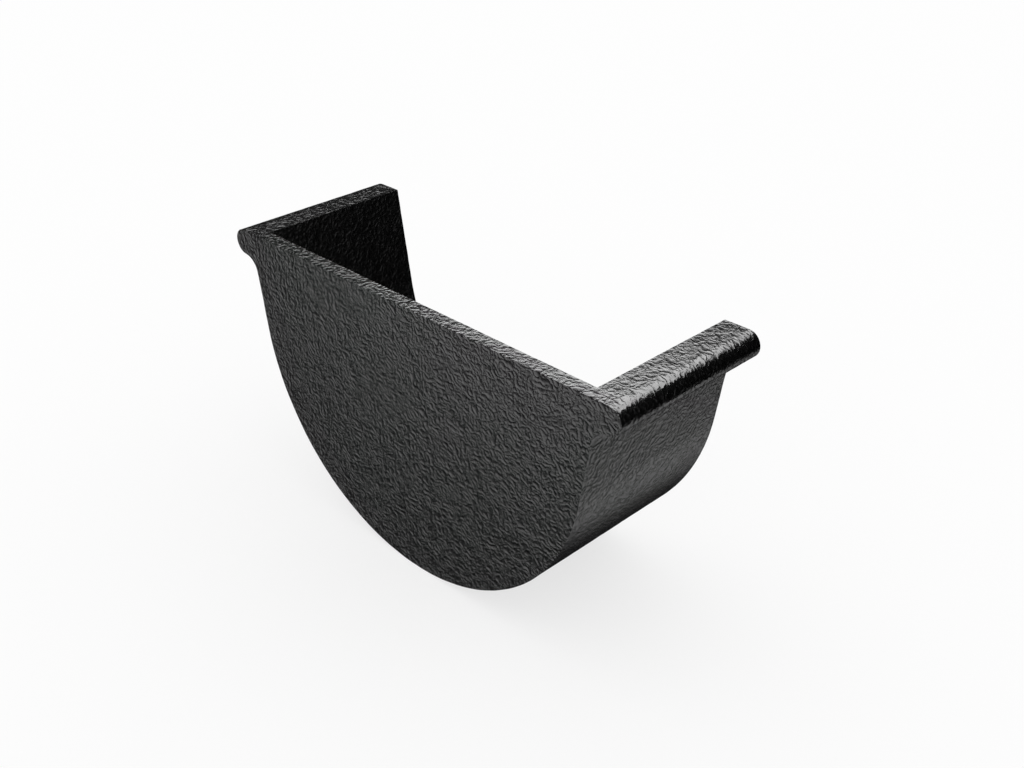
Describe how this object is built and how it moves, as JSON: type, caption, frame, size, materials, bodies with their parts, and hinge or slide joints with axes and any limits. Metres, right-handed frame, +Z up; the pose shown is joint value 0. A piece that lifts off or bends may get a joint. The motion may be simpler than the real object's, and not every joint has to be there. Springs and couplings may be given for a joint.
{
  "type": "gutter end cap",
  "caption": "Cast iron stop end for a beaded deep half round gutter: a flat stop plate closing a short round-soled socket, with a bead along each rim and a bolt hole in the sole.",
  "frame": {"origin": "on the lowest line of the sole's outside, under the middle of the cap's width and length", "axes": "+X across the gutter, +Y along the gutter from the stop plate to the socket's mouth, +Z up towards the open rim"},
  "size_m": [0.158, 0.0558, 0.0884],
  "materials": {
    "black_paint": "satin"
  },
  "bodies": {
    "root": {"end_cap": "black_paint"}
  },
  "joints": []
}
